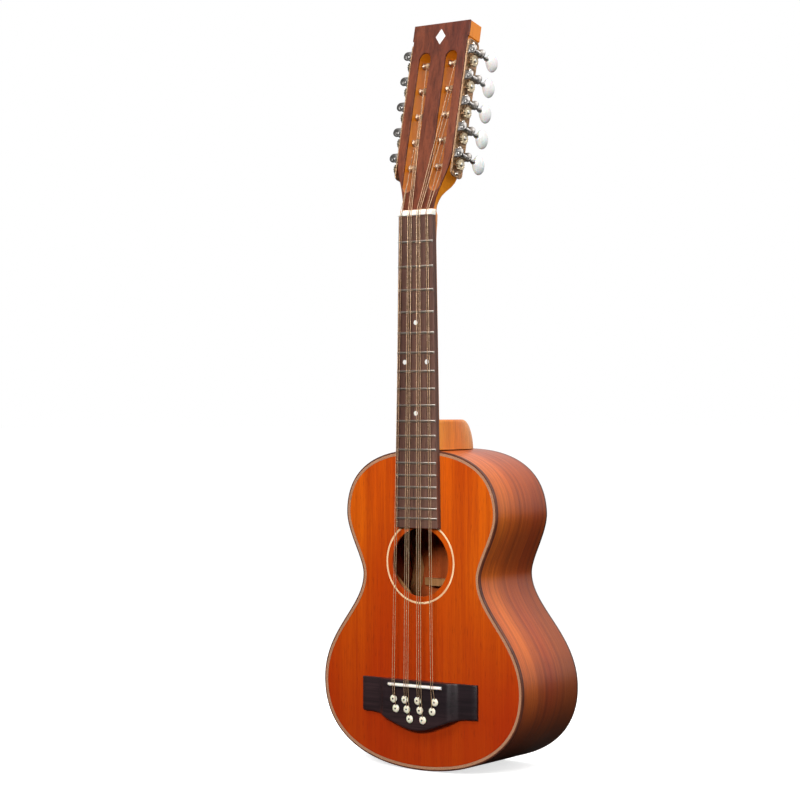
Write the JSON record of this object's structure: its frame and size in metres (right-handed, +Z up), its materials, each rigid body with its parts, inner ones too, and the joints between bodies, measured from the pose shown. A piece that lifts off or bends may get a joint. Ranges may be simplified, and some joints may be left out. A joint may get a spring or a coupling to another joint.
{
  "type": "tiple",
  "caption": "Small guitar-shaped fretted instrument with strings in grouped courses, a slotted headstock with geared tuners and a pin bridge.",
  "frame": {"origin": "the middle of a hanger yoke's gap, on the centre line where the nut meets the fretboard, in the plane of the soundboard's outer face", "axes": "+Z up the neck towards the headstock, +X to the right of someone facing the strings, +Y from the soundboard to the back"},
  "size_m": [0.2236, 0.1136, 0.6954],
  "materials": {
    "neck_mahogany": "gloss lacquer",
    "head_veneer": "gloss lacquer",
    "fretboard_rosewood": "oiled",
    "bone": "polished",
    "soundboard_mahogany": "gloss lacquer",
    "back_mahogany": "gloss lacquer",
    "side_mahogany": "gloss lacquer",
    "inner_wood": "bare",
    "edge_binding": "gloss lacquer",
    "bridge_rosewood": "satin",
    "tuner_metal": "aged",
    "tuner_post_metal": "aged",
    "key_pearl": "pearly",
    "string_steel": "bright",
    "pin_plastic": "polished"
  },
  "bodies": {
    "instrument": {"neck": "neck_mahogany", "headstock_veneer": "head_veneer", "fretboard": "fretboard_rosewood", "nut": "bone", "soundboard": "soundboard_mahogany", "back_plate": "back_mahogany", "side_left": "side_mahogany", "side_right": "side_mahogany", "tail_block": "inner_wood", "lining_front": "inner_wood", "lining_back": "inner_wood", "binding_front": "edge_binding", "binding_back": "edge_binding", "top_bracing": "inner_wood", "back_bracing": "inner_wood", "bridge": "bridge_rosewood", "saddle": "bone", "bridge_plate": "inner_wood", "tuner_plate_left": "tuner_metal", "tuner_plate_right": "tuner_metal", "string_1": "string_steel", "string_2": "string_steel", "string_3": "string_steel", "string_4": "string_steel", "string_5": "string_steel", "string_6": "string_steel", "string_7": "string_steel", "string_8": "string_steel", "string_9": "string_steel", "string_10": "string_steel", "bridge_pin_1": "pin_plastic", "bridge_pin_2": "pin_plastic", "bridge_pin_3": "pin_plastic", "bridge_pin_4": "pin_plastic", "bridge_pin_5": "pin_plastic", "bridge_pin_6": "pin_plastic", "bridge_pin_7": "pin_plastic", "bridge_pin_8": "pin_plastic", "bridge_pin_9": "pin_plastic", "bridge_pin_10": "pin_plastic"},
    "key_1": {"tuner_key_1": "key_pearl"},
    "post_1": {"string_post_1": "tuner_post_metal"},
    "key_2": {"tuner_key_2": "key_pearl"},
    "post_2": {"string_post_2": "tuner_post_metal"},
    "key_3": {"tuner_key_3": "key_pearl"},
    "post_3": {"string_post_3": "tuner_post_metal"},
    "key_4": {"tuner_key_4": "key_pearl"},
    "post_4": {"string_post_4": "tuner_post_metal"},
    "key_5": {"tuner_key_5": "key_pearl"},
    "post_5": {"string_post_5": "tuner_post_metal"},
    "key_6": {"tuner_key_6": "key_pearl"},
    "post_6": {"string_post_6": "tuner_post_metal"},
    "key_7": {"tuner_key_7": "key_pearl"},
    "post_7": {"string_post_7": "tuner_post_metal"},
    "key_8": {"tuner_key_8": "key_pearl"},
    "post_8": {"string_post_8": "tuner_post_metal"},
    "key_9": {"tuner_key_9": "key_pearl"},
    "post_9": {"string_post_9": "tuner_post_metal"},
    "key_10": {"tuner_key_10": "key_pearl"},
    "post_10": {"string_post_10": "tuner_post_metal"}
  },
  "joints": [
    {"name": "key_turn_1", "type": "hinge", "parent": "instrument", "child": "key_1", "pos_m": [-0.0362, 0.01888, 0.05418], "axis": [0, 0.9736, -0.2284], "continuous": true},
    {"name": "post_turn_1", "type": "hinge", "parent": "instrument", "child": "post_1", "pos_m": [-0.015, 0.01599, 0.04623], "axis": [1, 0, 0], "continuous": true},
    {"name": "key_turn_2", "type": "hinge", "parent": "instrument", "child": "key_2", "pos_m": [-0.0362, 0.02466, 0.07882], "axis": [0, 0.9736, -0.2284], "continuous": true},
    {"name": "post_turn_2", "type": "hinge", "parent": "instrument", "child": "post_2", "pos_m": [-0.015, 0.02177, 0.07087], "axis": [1, 0, 0], "continuous": true},
    {"name": "key_turn_3", "type": "hinge", "parent": "instrument", "child": "key_3", "pos_m": [-0.0362, 0.03043, 0.10345], "axis": [0, 0.9736, -0.2284], "continuous": true},
    {"name": "post_turn_3", "type": "hinge", "parent": "instrument", "child": "post_3", "pos_m": [-0.015, 0.02754, 0.0955], "axis": [1, 0, 0], "continuous": true},
    {"name": "key_turn_4", "type": "hinge", "parent": "instrument", "child": "key_4", "pos_m": [-0.0362, 0.03621, 0.12808], "axis": [0, 0.9736, -0.2284], "continuous": true},
    {"name": "post_turn_4", "type": "hinge", "parent": "instrument", "child": "post_4", "pos_m": [-0.015, 0.03332, 0.12013], "axis": [1, 0, 0], "continuous": true},
    {"name": "key_turn_5", "type": "hinge", "parent": "instrument", "child": "key_5", "pos_m": [-0.0362, 0.04199, 0.15271], "axis": [0, 0.9736, -0.2284], "continuous": true},
    {"name": "post_turn_5", "type": "hinge", "parent": "instrument", "child": "post_5", "pos_m": [-0.015, 0.0391, 0.14476], "axis": [1, 0, 0], "continuous": true},
    {"name": "key_turn_6", "type": "hinge", "parent": "instrument", "child": "key_6", "pos_m": [0.0362, 0.04199, 0.15271], "axis": [0, 0.9736, -0.2284], "continuous": true},
    {"name": "post_turn_6", "type": "hinge", "parent": "instrument", "child": "post_6", "pos_m": [0.015, 0.0391, 0.14476], "axis": [1, 0, 0], "continuous": true},
    {"name": "key_turn_7", "type": "hinge", "parent": "instrument", "child": "key_7", "pos_m": [0.0362, 0.03621, 0.12808], "axis": [0, 0.9736, -0.2284], "continuous": true},
    {"name": "post_turn_7", "type": "hinge", "parent": "instrument", "child": "post_7", "pos_m": [0.015, 0.03332, 0.12013], "axis": [1, 0, 0], "continuous": true},
    {"name": "key_turn_8", "type": "hinge", "parent": "instrument", "child": "key_8", "pos_m": [0.0362, 0.03043, 0.10345], "axis": [0, 0.9736, -0.2284], "continuous": true},
    {"name": "post_turn_8", "type": "hinge", "parent": "instrument", "child": "post_8", "pos_m": [0.015, 0.02754, 0.0955], "axis": [1, 0, 0], "continuous": true},
    {"name": "key_turn_9", "type": "hinge", "parent": "instrument", "child": "key_9", "pos_m": [0.0362, 0.02466, 0.07882], "axis": [0, 0.9736, -0.2284], "continuous": true},
    {"name": "post_turn_9", "type": "hinge", "parent": "instrument", "child": "post_9", "pos_m": [0.015, 0.02177, 0.07087], "axis": [1, 0, 0], "continuous": true},
    {"name": "key_turn_10", "type": "hinge", "parent": "instrument", "child": "key_10", "pos_m": [0.0362, 0.01888, 0.05418], "axis": [0, 0.9736, -0.2284], "continuous": true},
    {"name": "post_turn_10", "type": "hinge", "parent": "instrument", "child": "post_10", "pos_m": [0.015, 0.01599, 0.04623], "axis": [1, 0, 0], "continuous": true}
  ],
  "couplings": [
    {"joint": "post_turn_1", "follows": "key_turn_1", "ratio": 0.071429},
    {"joint": "post_turn_2", "follows": "key_turn_2", "ratio": 0.071429},
    {"joint": "post_turn_3", "follows": "key_turn_3", "ratio": 0.071429},
    {"joint": "post_turn_4", "follows": "key_turn_4", "ratio": 0.071429},
    {"joint": "post_turn_5", "follows": "key_turn_5", "ratio": 0.071429},
    {"joint": "post_turn_6", "follows": "key_turn_6", "ratio": 0.071429},
    {"joint": "post_turn_7", "follows": "key_turn_7", "ratio": 0.071429},
    {"joint": "post_turn_8", "follows": "key_turn_8", "ratio": 0.071429},
    {"joint": "post_turn_9", "follows": "key_turn_9", "ratio": 0.071429},
    {"joint": "post_turn_10", "follows": "key_turn_10", "ratio": 0.071429}
  ]
}
